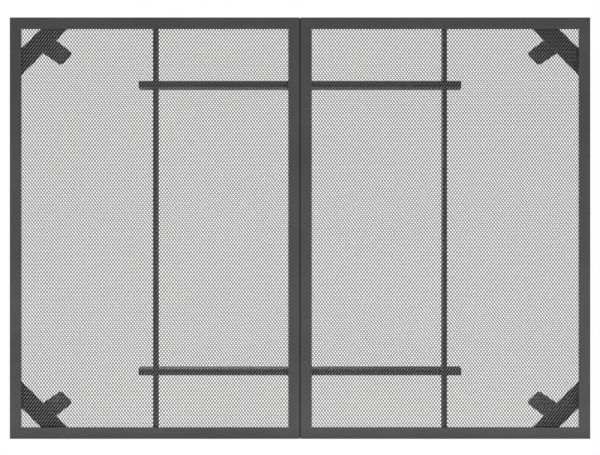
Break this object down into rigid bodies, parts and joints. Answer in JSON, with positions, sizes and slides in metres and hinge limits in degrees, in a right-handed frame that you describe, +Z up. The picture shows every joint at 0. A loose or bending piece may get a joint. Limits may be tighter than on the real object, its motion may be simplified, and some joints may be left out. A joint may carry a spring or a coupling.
{
  "type": "fireplace screen",
  "caption": "Flat folding mesh screen of steel leaves that covers a firebox opening, with rear corner tabs that locate it in the opening.",
  "frame": {"origin": "under the centre of the flat screen's box, on the surface that its bottom rails stand on", "axes": "+X across the screen to the viewer's right, +Y from the front faces back towards the firebox, +Z up"},
  "size_m": [0.96, 0.095, 0.697],
  "materials": {
    "powder_coat": "satin",
    "mesh_wire": "satin",
    "plated_steel": "satin"
  },
  "bodies": {
    "left_leaf": {"left_outer_stile": "powder_coat", "left_inner_stile": "powder_coat", "left_top_rail": "powder_coat", "left_bottom_rail": "powder_coat", "left_mesh": "mesh_wire", "left_outer_retainer": "powder_coat", "left_inner_retainer": "powder_coat", "left_top_retainer": "powder_coat", "left_bottom_retainer": "powder_coat", "left_stiffener_bar": "powder_coat", "left_upper_strap": "powder_coat", "left_lower_strap": "powder_coat", "left_upper_tab": "powder_coat", "left_lower_tab": "powder_coat", "left_upper_hinge_bar": "powder_coat", "left_lower_hinge_bar": "powder_coat", "upper_hinge_lugs": "powder_coat", "lower_hinge_lugs": "powder_coat", "upper_hinge_pin": "plated_steel", "lower_hinge_pin": "plated_steel", "upper_pin_clip": "plated_steel", "lower_pin_clip": "plated_steel", "upper_hinge_washers": "plated_steel", "lower_hinge_washers": "plated_steel"},
    "right_leaf": {"right_outer_stile": "powder_coat", "right_inner_stile": "powder_coat", "right_top_rail": "powder_coat", "right_bottom_rail": "powder_coat", "right_mesh": "mesh_wire", "right_outer_retainer": "powder_coat", "right_inner_retainer": "powder_coat", "right_top_retainer": "powder_coat", "right_bottom_retainer": "powder_coat", "right_stiffener_bar": "powder_coat", "right_upper_strap": "powder_coat", "right_lower_strap": "powder_coat", "right_upper_tab": "powder_coat", "right_lower_tab": "powder_coat", "right_upper_hinge_bar": "powder_coat", "right_lower_hinge_bar": "powder_coat"}
  },
  "joints": [
    {"name": "centre_fold", "type": "hinge", "parent": "left_leaf", "child": "right_leaf", "pos_m": [0, -0.0115, 0.3485], "axis": [0, 0, 1], "range_deg": [0, 160]}
  ]
}
